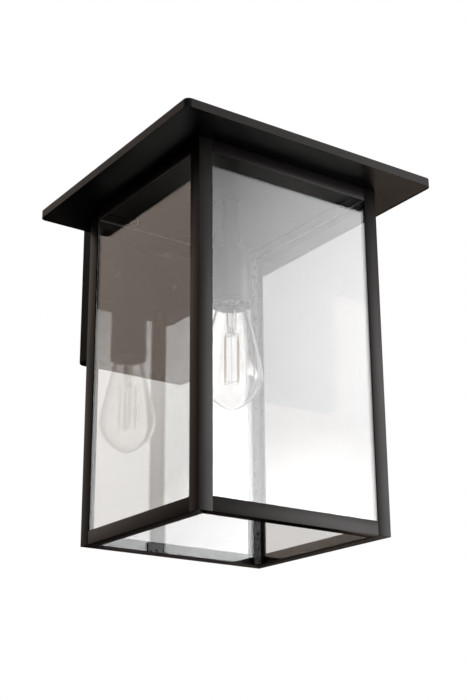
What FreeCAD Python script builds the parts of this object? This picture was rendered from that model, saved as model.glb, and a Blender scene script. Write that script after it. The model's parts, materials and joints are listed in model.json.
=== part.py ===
import FreeCAD, Part
import math
import os

# Outdoor wall lantern: an open-bottomed glass box under a flat, wide roof, hung from a wall box.
# Millimetres. +Z is up and the lantern stands out from the wall along -Y.
# The origin is on the wall, at the centre of the mounting strap's rear face.

Vec = FreeCAD.Vector

# ---- driving dimensions: lantern body ----
body_width = 222.0          # across the front, over the corner posts
body_depth = 215.0          # front to back, over the corner posts
body_height = 367.0         # foot of the posts to the lower edge of the roof's lip
lip_above_box = 30.0        # lower edge of the roof's lip above the centre of the wall box
wall_gap = 93.5             # wall to the rear face of the body
sheet = 1.5                 # thickness of the angle iron
post_leg = 15.5             # leg of a corner post
rail_height = 14.0          # upright leg of a rail
rail_ledge = 13.5           # level leg of a rail

# ---- roof ----
roof_overhang = 41.5
roof_lip = 9.6
roof_sheet = 1.2
roof_corner = 6.0           # radius of the roof's plan corners
soffit_recess = 0.4         # soffit above the lip's lower edge
soffit_gap = 0.15           # soffit to the inside of the lip
soffit_flange = 5.0         # upturned edge of the soffit tray

# ---- glazing ----
glass = 3.0
glass_gap = 0.2             # pane to post, and pane to clip
pane_joint = 0.5            # side pane to front or rear pane
pane_top_gap = 4.0          # pane top to the ledge of the top rail
pad_height = 1.2
pad_length = 20.0
pad_inset = 30.0            # pad centre from the end of its pane
bead_leg = 5.0              # sealant bead in the inner corners
clip_width = 18.0
clip_offset = 26.0          # clip centre from the middle of the rail
clip_height = 10.9
clip_sheet = 1.2

# ---- fasteners ----
frame_screw_r = 1.95
frame_screw_inset = 9.8     # screw line from the outer face of the body
frame_screw_offset = 60.0   # from the middle of each rail
frame_head_r = 3.6
frame_head_h = 2.2
frame_washer = 0.8
frame_washer_r = 4.4
frame_nut_flat = 7.0
frame_nut_h = 3.2
clip_screw_r = 1.4
clip_head_r = 2.7
clip_head_h = 1.8
hole_play = 0.25            # screw shank to its hole, on the radius

# ---- wall box ----
box_width = 141.0
box_height = 222.0
box_front = 24.5            # wall to the front face of the wall box
box_sheet = 1.5
box_corner = 4.0
gasket = 2.0
gasket_width = 6.0
gasket_inset = 1.0
strap_width = 18.0
strap_sheet = 2.0
strap_length = 110.0
strap_hole_spacing = 88.9   # 3 1/2 inch junction-box screws
strap_slot_length = 10.0
strap_slot_r = 2.5
stud_bar_length = 100.0
stud_spacing = 76.0
stud_r = 1.95
stud_head_r = 3.6
stud_head_h = 1.6
stud_past_box = 4.5
cap_nut_flat = 8.0
cap_nut_h = 4.0
cap_nut_bore = 6.0

# ---- arm ----
arm_width = 50.0
arm_height = 20.0
arm_sheet = 1.5
arm_past_stem = 30.0
arm_flange_width = 66.0
arm_flange_height = 30.0
arm_flange_sheet = 3.0
arm_wire_r = 6.0
arm_screw_offset = 17.0
arm_screw_r = 2.4
arm_head_r = 4.5
arm_head_h = 3.0
cap_spigot = 6.0

# ---- stem and lamp holder ----
stem_r = 10.0
stem_wall = 1.5
stem_length = 56.6          # soffit to the top of the cup
nipple_r = 4.9
nipple_bore_r = 3.5
nipple_play = 0.3
locknut_flat = 14.0
locknut_h = 3.0
nipple_past_nut = 1.5
spacer_r = 9.0
cup_r = 21.0
cup_length = 63.0
cup_wall = 1.2
socket_r = 18.6
socket_top_gap = 2.0        # cup locknut to the lamp holder
socket_above_mouth = 5.0    # lamp holder's rim inside the mouth of the cup
shell_wall = 0.5
shell_length = 25.0
shell_play = 0.3            # running fit of the bulb's cap in the screw shell
tab_r = 4.0
tab_h = 1.6

# ---- bulb, ST64 with an E26 cap ----
bulb_length = 145.0
bulb_r = 32.0
bulb_shoulder_r = 17.0      # where the straight taper turns in to the neck
bulb_shoulder = 107.5       # tip of the bulb to that place
bulb_wall = 0.8
bulb_below_cup = 112.4      # mouth of the cup to the tip of the bulb
cap_r = 12.9
cap_wall = 0.4
cap_top = 3.5               # top of the bulb to the top of the cap's thread
cap_length = 23.0
contact_r = 5.0
contact_h = 0.8
mount_r = 5.2               # glass mount inside the bulb
mount_length = 28.5
knot_length = 9.5
filament_length = 51.0
filament_r = 1.1
filament_circle = 9.4
filament_turn = -33.0       # degrees, the ring of filaments about the bulb's axis
bulb_wire_r = 0.45

# ---- wires ----
lead_r = 1.0
lead_bend = 9.0
bond_r = 1.2
bond_ring_r = 4.4
bond_hole_play = 1.0
bond_hole = (-16.0, 8.0)    # in the soffit, from the axis of the stem
connector_r = 6.0
connector_h = 20.0

# ---- places worked out from the sizes ----
body_y = -(wall_gap + body_depth / 2)
lip_z = lip_above_box
foot = lip_z - body_height
soffit_z = lip_z + soffit_recess
roof_top = lip_z + roof_lip
pan_under = roof_top - roof_sheet
half_x = body_width / 2
half_y = body_depth / 2
pane_out = sheet + glass_gap            # outer face of a pane from the outer face of the body
pane_in = pane_out + glass
pane_foot = foot + sheet + pad_height
pane_head = soffit_z - sheet - pane_top_gap
arm_z = roof_top + arm_height / 2
cup_top = soffit_z - stem_length
cup_mouth = cup_top - cup_length
bulb_tip = cup_mouth - bulb_below_cup
bulb_top = bulb_tip + bulb_length
thread_top = bulb_top - cap_top
thread_foot = thread_top - cap_length
nipple_top = roof_top + arm_sheet + locknut_h + nipple_past_nut
nipple_foot = cup_top - cup_wall - locknut_h
socket_top = nipple_foot - socket_top_gap
socket_foot = cup_mouth + socket_above_mouth


def block(x0, x1, y0, y1, z0, z1):
    """A box between two corners."""
    return Part.makeBox(x1 - x0, y1 - y0, z1 - z0, Vec(x0, y0, z0))


def rod(radius, start, end):
    """A round bar from one point to another."""
    a, b = Vec(*start), Vec(*end)
    return Part.makeCylinder(radius, (b - a).Length, a, b - a)


def tube(outer, inner, start, end):
    """A round tube from one point to another."""
    return rod(outer, start, end).cut(rod(inner, start, end))


def hexagon(flats, start, end, bore=0.0):
    """A hexagonal bar between two points, with an optional bore along it."""
    a, b = Vec(*start), Vec(*end)
    direction = b - a
    side = Vec(0, 0, 1).cross(direction)
    if side.Length < 1e-6:
        side = Vec(1, 0, 0)
    side.normalize()
    other = direction.cross(side).normalize()
    radius = flats / math.sqrt(3)
    points = []
    for step in range(7):
        angle = math.radians(60 * step)
        points.append(a + side * (radius * math.cos(angle)) + other * (radius * math.sin(angle)))
    solid = Part.Face(Part.makePolygon(points)).extrude(direction)
    if bore:
        solid = solid.cut(rod(bore, start, end))
    return solid


def rounded_plate(width, depth, centre_y, z0, z1, radius):
    """An upright-edged plate with rounded plan corners, centred on X = 0."""
    solid = block(-width / 2, width / 2, centre_y - depth / 2, centre_y + depth / 2, z0, z1)
    upright = [edge for edge in solid.Edges if abs(edge.tangentAt(edge.FirstParameter).z) > 0.99]
    return solid.makeFillet(radius, upright)


def rounded_panel(width, height, y0, y1, radius):
    """A panel that stands against the wall, with rounded corners, centred on the origin."""
    solid = block(-width / 2, width / 2, y0, y1, -height / 2, height / 2)
    level = [edge for edge in solid.Edges if abs(edge.tangentAt(edge.FirstParameter).y) > 0.99]
    return solid.makeFillet(radius, level)


def turned(profile):
    """A solid of revolution about the stem's axis; the profile is (radius, z) pairs."""
    points = [Vec(r, body_y, z) for r, z in profile]
    face = Part.Face(Part.makePolygon(points + [points[0]]))
    return face.revolve(Vec(0, body_y, 0), Vec(0, 0, 1), 360)


def solid_of(shape):
    """The single solid inside a result, so that each file holds plain solids."""
    return shape.Solids[0] if len(shape.Solids) == 1 else shape


def group(shapes):
    """Several separate solids kept in one node."""
    return Part.makeCompound([solid_of(shape) for shape in shapes])


def bent_rod(radius, points, bend):
    """A wire: straight runs joined by tangent arcs. Prints the radius of each arc."""
    corners = [Vec(*point) for point in points]
    edges = []
    position = corners[0]
    used = []
    for before, corner, after in zip(corners, corners[1:], corners[2:]):
        into = (corner - before).normalize()
        out = (after - corner).normalize()
        turn = into.getAngle(out)
        room = 0.45 * min((corner - before).Length, (after - corner).Length)
        arc_radius = min(bend, room / math.tan(turn / 2))
        setback = arc_radius * math.tan(turn / 2)
        start, end = corner - into * setback, corner + out * setback
        inward = (out - into).normalize()
        middle = corner + inward * (arc_radius / math.cos(turn / 2) - arc_radius)
        edges.append(Part.LineSegment(position, start).toShape())
        edges.append(Part.Arc(start, middle, end).toShape())
        position = end
        used.append(round(arc_radius, 1))
    edges.append(Part.LineSegment(position, corners[-1]).toShape())
    path = Part.Wire(edges)
    section = Part.Wire([Part.makeCircle(radius, corners[0], corners[1] - corners[0])])
    solid = path.makePipeShell([section], True, False)
    expected = math.pi * radius ** 2 * path.Length
    print("wire: arcs", used, "length", round(path.Length, 1), "volume ratio",
          round(solid.Volume / expected, 4))
    return solid


# ---- lantern frame ----

def post(side, end):
    """A corner post: an angle with its heel outwards. side is -1 or 1 in X, end in Y."""
    heel_x, heel_y = side * half_x, body_y + end * half_y
    toe_x, toe_y = heel_x - side * post_leg, heel_y - end * post_leg
    in_x, in_y = heel_x - side * sheet, heel_y - end * sheet
    outer = block(min(heel_x, toe_x), max(heel_x, toe_x), min(heel_y, toe_y), max(heel_y, toe_y),
                  foot, soffit_z)
    hollow = block(min(in_x, toe_x), max(in_x, toe_x), min(in_y, toe_y), max(in_y, toe_y),
                   foot, soffit_z)
    return outer.cut(hollow)


def outwards(side):
    """The direction in which a side of the body faces."""
    return {"front": Vec(0, -1, 0), "rear": Vec(0, 1, 0), "left": Vec(-1, 0, 0), "right": Vec(1, 0, 0)}[side]


def rail(side, at_top):
    """A rail: an angle with an upright leg outside and a ledge inside.
    The upright leg stands between the posts. The ledge runs on behind them to a mitred corner."""
    out = outwards(side)
    along = Vec(0, 0, 1).cross(out)
    half_out, half_along = (half_y, half_x) if side in ("front", "rear") else (half_x, half_y)
    centre = Vec(0, body_y, 0)

    def flat(outline, low, high):
        points = [centre + along * a + out * (half_out - inset) + Vec(0, 0, low) for a, inset in outline]
        return Part.Face(Part.makePolygon(points + [points[0]])).extrude(Vec(0, 0, high - low))

    upright_end = half_along - post_leg
    ledge_end, ledge_tip = half_along - sheet, half_along - rail_ledge
    upright = [(-upright_end, 0), (upright_end, 0), (upright_end, sheet), (-upright_end, sheet)]
    ledge = [(-ledge_end, sheet), (ledge_end, sheet), (ledge_tip, rail_ledge), (-ledge_tip, rail_ledge)]
    upright_z = (soffit_z - rail_height, soffit_z) if at_top else (foot, foot + rail_height)
    ledge_z = (soffit_z - sheet, soffit_z) if at_top else (foot, foot + sheet)
    angle = flat(upright, *upright_z).fuse(flat(ledge, *ledge_z)).removeSplitter()
    if at_top:
        for x, y in frame_screw_places(side):
            angle = angle.cut(rod(frame_screw_r + hole_play, (x, y, soffit_z - 5), (x, y, soffit_z + 1)))
    elif side == clip_side:
        x, y = clip_place
        angle = angle.cut(rod(clip_screw_r + hole_play, (x, y, foot - 1), (x, y, foot + 5)))
    return angle


def frame_screw_places(side):
    """The two screws that hold one top rail to the soffit."""
    if side in ("front", "rear"):
        sign = -1 if side == "front" else 1
        y = body_y + sign * (half_y - frame_screw_inset)
        return [(-frame_screw_offset, y), (frame_screw_offset, y)]
    sign = -1 if side == "left" else 1
    x = sign * (half_x - frame_screw_inset)
    return [(x, body_y - frame_screw_offset), (x, body_y + frame_screw_offset)]


def all_frame_screws():
    return [place for side in sides for place in frame_screw_places(side)]


# ---- glazing ----

def pane(side):
    """A glass pane inside the posts; the side panes stand between the front and rear ones."""
    if side in ("front", "rear"):
        sign = -1 if side == "front" else 1
        out, inner = body_y + sign * (half_y - pane_out), body_y + sign * (half_y - pane_in)
        reach = half_x - pane_out
        return block(-reach, reach, min(out, inner), max(out, inner), pane_foot, pane_head)
    sign = -1 if side == "left" else 1
    out, inner = sign * (half_x - pane_out), sign * (half_x - pane_in)
    reach = half_y - pane_in - pane_joint
    return block(min(out, inner), max(out, inner), body_y - reach, body_y + reach,
                 pane_foot, pane_head)


def pads(side):
    """The two rubber pads that a pane stands on."""
    found = []
    bounds = pane(side).BoundBox
    for step in (-1, 1):
        if side in ("front", "rear"):
            x = step * (half_x - pane_out - pad_inset)
            found.append(block(x - pad_length / 2, x + pad_length / 2, bounds.YMin, bounds.YMax,
                               foot + sheet, pane_foot))
        else:
            y = body_y + step * (half_y - pane_in - pane_joint - pad_inset)
            found.append(block(bounds.XMin, bounds.XMax, y - pad_length / 2, y + pad_length / 2,
                               foot + sheet, pane_foot))
    return found


def sealant_bead(side, end):
    """A three-cornered bead in the inner corner of two panes."""
    x = side * (half_x - pane_in)
    y = body_y + end * (half_y - pane_in)
    points = [Vec(x, y, pane_foot), Vec(x - side * bead_leg, y, pane_foot),
              Vec(x, y - end * bead_leg, pane_foot), Vec(x, y, pane_foot)]
    return Part.Face(Part.makePolygon(points)).extrude(Vec(0, 0, pane_head - pane_foot))


clip_side = "rear"
clip_place = (-clip_offset, body_y + half_y - (pane_in + glass_gap + clip_sheet + rail_ledge) / 2)


def glass_clip():
    """A bent clip on the rear rail: a foot on the ledge and a tab in front of the pane."""
    x, y = clip_place
    tab_face = body_y + half_y - pane_in - glass_gap
    ledge_edge = body_y + half_y - rail_ledge
    low = foot + sheet
    tab = block(x - clip_width / 2, x + clip_width / 2, tab_face - clip_sheet, tab_face,
                low, low + clip_height)
    flat = block(x - clip_width / 2, x + clip_width / 2, ledge_edge, tab_face, low, low + clip_sheet)
    hole = rod(clip_screw_r + hole_play, (x, y, low - 1), (x, y, low + 5))
    return tab.fuse(flat).removeSplitter().cut(hole)


def clip_screw():
    x, y = clip_place
    seat = foot + sheet + clip_sheet
    return rod(clip_head_r, (x, y, seat), (x, y, seat + clip_head_h)).fuse(
        rod(clip_screw_r, (x, y, foot), (x, y, seat)))


def frame_screw(x, y):
    """A pan-head screw that goes up through washer, rail and soffit into its nut."""
    seat = soffit_z - sheet - frame_washer
    head = rod(frame_head_r, (x, y, seat - frame_head_h), (x, y, seat))
    return head.fuse(rod(frame_screw_r, (x, y, seat), (x, y, soffit_z + roof_sheet + frame_nut_h)))


def frame_nut(x, y):
    low = soffit_z + roof_sheet
    return hexagon(frame_nut_flat, (x, y, low), (x, y, low + frame_nut_h), frame_screw_r + 0.05)


def frame_washer_at(x, y):
    high = soffit_z - sheet
    return tube(frame_washer_r, frame_screw_r + hole_play, (x, y, high - frame_washer), (x, y, high))


# ---- roof ----

def roof_pan():
    """The roof: a shallow folded pan, open below, that the soffit closes."""
    width = body_width + 2 * roof_overhang
    depth = body_depth + 2 * roof_overhang
    outer = rounded_plate(width, depth, body_y, lip_z, roof_top, roof_corner)
    rim = [edge for edge in outer.Edges if edge.BoundBox.ZMin > roof_top - 0.01]
    outer = outer.makeFillet(roof_sheet * 0.8, rim)
    inner = rounded_plate(width - 2 * roof_sheet, depth - 2 * roof_sheet, body_y, lip_z - 1,
                          pan_under, roof_corner - roof_sheet)
    hole = rod(nipple_r + nipple_play, (0, body_y, pan_under - 1), (0, body_y, roof_top + 1))
    return outer.cut(inner).cut(hole)


def roof_soffit():
    """The flat tray that closes the roof from below, with its edges turned up."""
    width = body_width + 2 * (roof_overhang - roof_sheet - soffit_gap)
    depth = body_depth + 2 * (roof_overhang - roof_sheet - soffit_gap)
    corner = roof_corner - roof_sheet - soffit_gap
    outer = rounded_plate(width, depth, body_y, soffit_z, soffit_z + soffit_flange, corner)
    brim = [edge for edge in outer.Edges if edge.BoundBox.ZMax < soffit_z + 0.01]
    outer = outer.makeFillet(roof_sheet * 0.6, brim)
    inner = rounded_plate(width - 2 * roof_sheet, depth - 2 * roof_sheet, body_y,
                          soffit_z + roof_sheet, soffit_z + soffit_flange + 1, corner - roof_sheet)
    tray = outer.cut(inner)
    holes = [(0, body_y, nipple_r + nipple_play),
             (bond_hole[0], body_y + bond_hole[1], bond_r + bond_hole_play)]
    holes += [(x, y, frame_screw_r + hole_play) for x, y in all_frame_screws()]
    for x, y, radius in holes:
        tray = tray.cut(rod(radius, (x, y, soffit_z - 1), (x, y, soffit_z + roof_sheet + 1)))
    return tray


def roof_spacer():
    """Keeps the pan and the soffit apart where the stem's nut clamps them."""
    return tube(spacer_r, nipple_r + nipple_play, (0, body_y, soffit_z + roof_sheet),
                (0, body_y, pan_under))


# ---- arm ----

arm_back = -box_front - arm_flange_sheet
arm_end = body_y - arm_past_stem


def roof_arm():
    """A rectangular tube from the wall box over the middle of the roof."""
    outer = block(-arm_width / 2, arm_width / 2, arm_end, arm_back, roof_top, roof_top + arm_height)
    inner = block(-arm_width / 2 + arm_sheet, arm_width / 2 - arm_sheet, arm_end - 1, arm_back + 1,
                  roof_top + arm_sheet, roof_top + arm_height - arm_sheet)
    hole = rod(nipple_r + nipple_play, (0, body_y, roof_top - 1), (0, body_y, roof_top + arm_sheet + 1))
    return outer.cut(inner).cut(hole)


def arm_flange():
    """The plate on the rear end of the arm, tapped for the arm's screws."""
    plate = block(-arm_flange_width / 2, arm_flange_width / 2, arm_back, -box_front,
                  arm_z - arm_flange_height / 2, arm_z + arm_flange_height / 2)
    plate = plate.cut(rod(arm_wire_r, (0, arm_back - 1, arm_z), (0, -box_front + 1, arm_z)))
    for x in (-arm_screw_offset, arm_screw_offset):
        plate = plate.cut(rod(arm_screw_r + 0.05, (x, arm_back - 1, arm_z), (x, -box_front + 1, arm_z)))
    return plate


def arm_cap():
    """The plug that closes the front end of the arm."""
    face = block(-arm_width / 2, arm_width / 2, arm_end - arm_sheet, arm_end,
                 roof_top, roof_top + arm_height)
    inset = arm_sheet + 0.1
    spigot = block(-arm_width / 2 + inset, arm_width / 2 - inset, arm_end, arm_end + cap_spigot,
                   roof_top + inset, roof_top + arm_height - inset)
    return face.fuse(spigot).removeSplitter()


def arm_screw(x):
    seat = -box_front + box_sheet
    head = rod(arm_head_r, (x, seat, arm_z), (x, seat + arm_head_h, arm_z))
    return head.fuse(rod(arm_screw_r, (x, arm_back - 2, arm_z), (x, seat, arm_z)))


# ---- wall box ----

def wall_gasket():
    width, height = box_width - 2 * gasket_inset, box_height - 2 * gasket_inset
    outer = rounded_panel(width, height, -gasket, 0, box_corner - gasket_inset)
    inner = block(-width / 2 + gasket_width, width / 2 - gasket_width, -gasket - 1, 1,
                  -height / 2 + gasket_width, height / 2 - gasket_width)
    return outer.cut(inner)


def wall_box():
    """The shallow drawn box that covers the junction box and carries the arm."""
    outer = rounded_panel(box_width, box_height, -box_front, -gasket, box_corner)
    front = [edge for edge in outer.Edges if edge.BoundBox.YMax < -box_front + 0.01]
    outer = outer.makeFillet(box_sheet, front)
    inner = rounded_panel(box_width - 2 * box_sheet, box_height - 2 * box_sheet,
                          -box_front + box_sheet, 1, box_corner - box_sheet)
    shell = outer.cut(inner)
    holes = [(0, arm_z, arm_wire_r)]
    holes += [(x, arm_z, arm_screw_r + hole_play) for x in (-arm_screw_offset, arm_screw_offset)]
    holes += [(x, 0, stud_r + hole_play) for x in (-stud_spacing / 2, stud_spacing / 2)]
    for x, z, radius in holes:
        shell = shell.cut(rod(radius, (x, -box_front - 1, z), (x, -box_front + box_sheet + 1, z)))
    return shell


def slot(z, length, radius, y0, y1):
    """An upright slot cutter with round ends."""
    half = length / 2 - radius
    cutter = block(-radius, radius, y0, y1, z - half, z + half)
    for end in (z - half, z + half):
        cutter = cutter.fuse(rod(radius, (0, y0, end), (0, y1, end)))
    return cutter


bar_back = -strap_sheet
bar_front = -2 * strap_sheet
rivet_x = 5.0
rivet_r = 1.6
rivet_head_r = 3.0
rivet_head_h = 1.4
ground_x = 22.0
ground_r = 1.9
ground_head_r = 3.8
ground_head_h = 2.5


def mounting_strap():
    """The upright strap that the junction-box screws hold to the wall."""
    strap = block(-strap_width / 2, strap_width / 2, bar_back, 0, -strap_length / 2, strap_length / 2)
    for z in (-strap_hole_spacing / 2, strap_hole_spacing / 2):
        strap = strap.cut(slot(z, strap_slot_length, strap_slot_r, bar_back - 1, 1))
    for x in (-rivet_x, rivet_x):
        strap = strap.cut(rod(rivet_r + 0.05, (x, bar_back - 1, 0), (x, 1, 0)))
    return strap


def stud_bar():
    """The level bar across the strap, tapped for the two studs and the earth screw."""
    bar = block(-stud_bar_length / 2, stud_bar_length / 2, bar_front, bar_back,
                -strap_width / 2, strap_width / 2)
    holes = [(-stud_spacing / 2, stud_r + 0.05), (stud_spacing / 2, stud_r + 0.05),
             (-rivet_x, rivet_r + 0.05), (rivet_x, rivet_r + 0.05), (ground_x, ground_r + 0.05)]
    for x, radius in holes:
        bar = bar.cut(rod(radius, (x, bar_front - 1, 0), (x, bar_back + 1, 0)))
    return bar


def bar_rivet(x):
    """A rivet through bar and strap, flush behind the strap."""
    head = rod(rivet_head_r, (x, bar_front - rivet_head_h, 0), (x, bar_front, 0))
    return head.fuse(rod(rivet_r, (x, bar_front, 0), (x, 0, 0)))


def ground_screw():
    head = hexagon(2 * ground_head_r, (ground_x, bar_front - ground_head_h, 0), (ground_x, bar_front, 0))
    return head.fuse(rod(ground_r, (ground_x, bar_front, 0), (ground_x, bar_back, 0)))


def plate_stud(x):
    """A machine screw from behind the bar, long enough to pass the wall box."""
    head = rod(stud_head_r, (x, bar_back, 0), (x, bar_back + stud_head_h, 0))
    return head.fuse(rod(stud_r, (x, -box_front - stud_past_box, 0), (x, bar_back, 0)))


def cap_nut(x):
    """A domed nut on the front of the wall box."""
    seat = -box_front
    nut = hexagon(cap_nut_flat, (x, seat - cap_nut_h, 0), (x, seat, 0))
    dome = Part.makeSphere(cap_nut_flat / 2 - 0.3, Vec(x, seat - cap_nut_h, 0))
    return nut.fuse(dome).cut(rod(stud_r + 0.05, (x, seat - cap_nut_bore, 0), (x, seat, 0)))


# ---- stem and lamp holder ----

def stem_tube():
    return tube(stem_r, stem_r - stem_wall, (0, body_y, cup_top), (0, body_y, soffit_z))


def stem_nipple():
    return tube(nipple_r, nipple_bore_r, (0, body_y, nipple_foot), (0, body_y, nipple_top))


def stem_locknut():
    seat = roof_top + arm_sheet
    return hexagon(locknut_flat, (0, body_y, seat), (0, body_y, seat + locknut_h), nipple_r + 0.05)


def cup_locknut():
    seat = cup_top - cup_wall
    return hexagon(locknut_flat, (0, body_y, seat - locknut_h), (0, body_y, seat), nipple_r + 0.05)


def socket_cup():
    """The spun cup that hides the lamp holder."""
    outer = rod(cup_r, (0, body_y, cup_mouth), (0, body_y, cup_top))
    crown = [edge for edge in outer.Edges if edge.BoundBox.ZMin > cup_top - 0.01]
    outer = outer.makeFillet(cup_wall, crown)
    inner = rod(cup_r - cup_wall, (0, body_y, cup_mouth - 1), (0, body_y, cup_top - cup_wall))
    hole = rod(nipple_r + nipple_play, (0, body_y, cup_top - 5), (0, body_y, cup_top + 1))
    return outer.cut(inner).cut(hole)


shell_in = cap_r + shell_play
shell_out = shell_in + shell_wall
shell_top = bulb_top - 1.5
shell_foot = shell_top - shell_length


def socket_body():
    """The ceramic lamp holder, hung from the nipple by its collar."""
    collar_bore = nipple_r + 0.05
    outer = rod(socket_r, (0, body_y, socket_foot), (0, body_y, socket_top))
    neck = rod(socket_r * 0.6, (0, body_y, socket_top), (0, body_y, nipple_foot))
    well = rod(shell_out + 0.1, (0, body_y, socket_foot - 1), (0, body_y, bulb_top + tab_h + 0.4))
    passage = rod(nipple_bore_r, (0, body_y, bulb_top), (0, body_y, nipple_foot + 1))
    mouth = rod(collar_bore, (0, body_y, nipple_foot - 0.5), (0, body_y, nipple_foot + 1))
    return outer.fuse(neck).removeSplitter().cut(well).cut(passage).cut(mouth)


def screw_shell():
    return tube(shell_out, shell_in, (0, body_y, shell_foot), (0, body_y, shell_top))


def centre_contact():
    """The brass tab above the bulb's contact, on the floor of the lamp holder's well."""
    low = bulb_top + 0.3
    return rod(tab_r, (0, body_y, low), (0, body_y, bulb_top + tab_h + 0.4))


# ---- bulb ----

def bulb_outline(shrink):
    """The envelope's outline from the tip to the neck in three sweeps, moved inwards by shrink."""
    r, tip = bulb_r - shrink, bulb_tip + shrink
    belly = bulb_tip + 1.1 * bulb_r
    shoulder_r, shoulder_z = bulb_shoulder_r - shrink, bulb_tip + bulb_shoulder
    neck_r, neck_z = cap_r - 0.5 - shrink, thread_foot
    slant = (r - shoulder_r) / (shoulder_z - belly)
    reach = 0.3 * (shoulder_z - belly)
    fall = 0.45 * (neck_z - shoulder_z)
    sweeps = [
        [(0, tip), (0.36 * r, tip + 0.03 * bulb_r), (r, tip + 0.55 * bulb_r), (r, belly)],
        [(r, belly), (r, belly + 0.2 * (shoulder_z - belly)),
         (shoulder_r + slant * reach, shoulder_z - reach), (shoulder_r, shoulder_z)],
        [(shoulder_r, shoulder_z), (shoulder_r - slant * fall, shoulder_z + fall),
         (neck_r, neck_z - fall), (neck_r, neck_z)],
    ]
    curves = []
    for sweep in sweeps:
        curve = Part.BezierCurve()
        curve.setPoles([Vec(x, body_y, z) for x, z in sweep])
        curves.append(curve.toShape())
    return curves, Vec(0, body_y, tip), Vec(neck_r, body_y, neck_z)


def bulb_solid(shrink):
    curves, start, end = bulb_outline(shrink)
    axis_end = Vec(0, body_y, end.z)
    wire = Part.Wire(curves + [Part.LineSegment(end, axis_end).toShape(),
                               Part.LineSegment(axis_end, start).toShape()])
    return Part.Face(wire).revolve(Vec(0, body_y, 0), Vec(0, 0, 1), 360)


def bulb_glass():
    """The blown envelope, open at the neck where the cap is cemented on."""
    return bulb_solid(0).cut(bulb_solid(bulb_wall))


def bulb_cap():
    """The threaded cap, a plain sleeve over the crests of its thread, closed above."""
    profile = [(cap_r, thread_foot), (cap_r, thread_top), (contact_r + 1.0, thread_top),
               (contact_r + 1.0, thread_top - cap_wall), (cap_r - cap_wall, thread_top - cap_wall),
               (cap_r - cap_wall, thread_foot)]
    return turned(profile)


def bulb_insulator():
    profile = [(0, thread_top), (cap_r - 1.5, thread_top), (contact_r + 1.0, bulb_top - contact_h),
               (0, bulb_top - contact_h)]
    return turned(profile)


def bulb_contact():
    return rod(contact_r, (0, body_y, bulb_top - contact_h), (0, body_y, bulb_top))


mount_top = thread_foot
mount_foot = mount_top - mount_length
knot_foot = mount_foot - knot_length
filament_foot = knot_foot - filament_length


def bulb_mount():
    """The glass mount: a flared tube that closes into a pinched knot."""
    profile = [(0, mount_foot), (mount_r, mount_foot), (mount_r, mount_top - 4),
               (cap_r - 0.6 - bulb_wall, mount_top), (0, mount_top)]
    knot = block(-mount_r, mount_r, body_y - 1.6, body_y + 1.6, knot_foot, mount_foot)
    return turned(profile).fuse(knot).removeSplitter()


def filament_places():
    half = filament_circle / math.sqrt(2)
    turn = math.radians(filament_turn)
    for dx, dy in ((half, half), (-half, half), (-half, -half), (half, -half)):
        yield (dx * math.cos(turn) - dy * math.sin(turn),
               body_y + dx * math.sin(turn) + dy * math.cos(turn))


def bulb_filament(x, y):
    return rod(filament_r, (x, y, filament_foot), (x, y, knot_foot - 1.0))


def bulb_wires():
    """The centre wire and the spokes that carry both ends of the filaments."""
    wire = rod(bulb_wire_r, (0, body_y, filament_foot - 1.5), (0, body_y, knot_foot))
    for x, y in filament_places():
        wire = wire.fuse(rod(bulb_wire_r, (0, body_y, filament_foot - 0.6), (x, y, filament_foot - 0.6)))
        wire = wire.fuse(rod(bulb_wire_r, (0, body_y, knot_foot - 0.5), (x, y, knot_foot - 0.5)))
    return wire.removeSplitter()


# ---- wires ----

connector_x = 8.0
connector_foot = arm_z + 16.0
lead_inset = 4.0
lead_in_nipple = 1.6
box_mid = -(box_front - box_sheet) / 2
lead_rise = roof_top + arm_height - arm_sheet - lead_r - 0.6


def supply_lead(side):
    """A lead from the lamp holder up the nipple, back along the arm and up to its connector."""
    points = [(side * lead_in_nipple, body_y, nipple_foot - 0.4),
              (side * lead_in_nipple, body_y, lead_rise),
              (side * lead_inset, body_y + 60, arm_z),
              (side * lead_inset, box_mid, arm_z),
              (side * lead_inset, box_mid, connector_foot)]
    return bent_rod(lead_r, points, lead_bend)


def earth_lead():
    """The earth lead from the screw on the bar, up and forward into the arm."""
    points = [(ground_x, bar_front - ground_head_h - lead_r, 3.0),
              (ground_x, box_mid, 24.0),
              (0, box_mid - 1.0, arm_z - 1.5),
              (0, body_y + 70.0, arm_z - 1.5)]
    return bent_rod(lead_r, points, lead_bend)


bond_screw = (-frame_screw_offset, body_y + half_y - frame_screw_inset)


def bond_lead():
    """The earth bond under the soffit: out of a hole by the stem and slack to a rear rail screw."""
    level = soffit_z - bond_r - 1.4
    ring = soffit_z - sheet - frame_washer / 2
    end_x, end_y = bond_screw
    start = (bond_hole[0], body_y + bond_hole[1])
    points = [(start[0], start[1], soffit_z + roof_sheet),
              (start[0] - 0.3, start[1] + 0.2, level),
              (start[0] - 20.0, start[1] + 16.0, level - 0.6),
              (end_x + 1.0, body_y + 46.0, level - 1.0),
              (end_x - 7.0, body_y + 62.0, level - 1.2),
              (end_x - 6.0, end_y - 16.0, level - 0.4),
              (end_x, end_y - bond_ring_r - 0.5, ring - bond_r - 0.6)]
    return bent_rod(bond_r, points, 14.0)


def bond_ring():
    """The ring terminal that takes the washer's place on one frame screw."""
    x, y = bond_screw
    high = soffit_z - sheet
    low = high - frame_washer
    ring = rod(bond_ring_r, (x, y, low), (x, y, high))
    tongue = block(x - 1.6, x + 1.6, y - bond_ring_r - 4.0, y, low, high)
    return ring.fuse(tongue).removeSplitter().cut(rod(frame_screw_r + hole_play, (x, y, low), (x, y, high)))


def wire_connector(side):
    """A conical twist-on connector."""
    x = side * connector_x
    return Part.makeCone(connector_r, connector_r * 0.6, connector_h,
                         Vec(x, box_mid, connector_foot), Vec(0, 0, 1))


# ---- build ----

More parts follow.
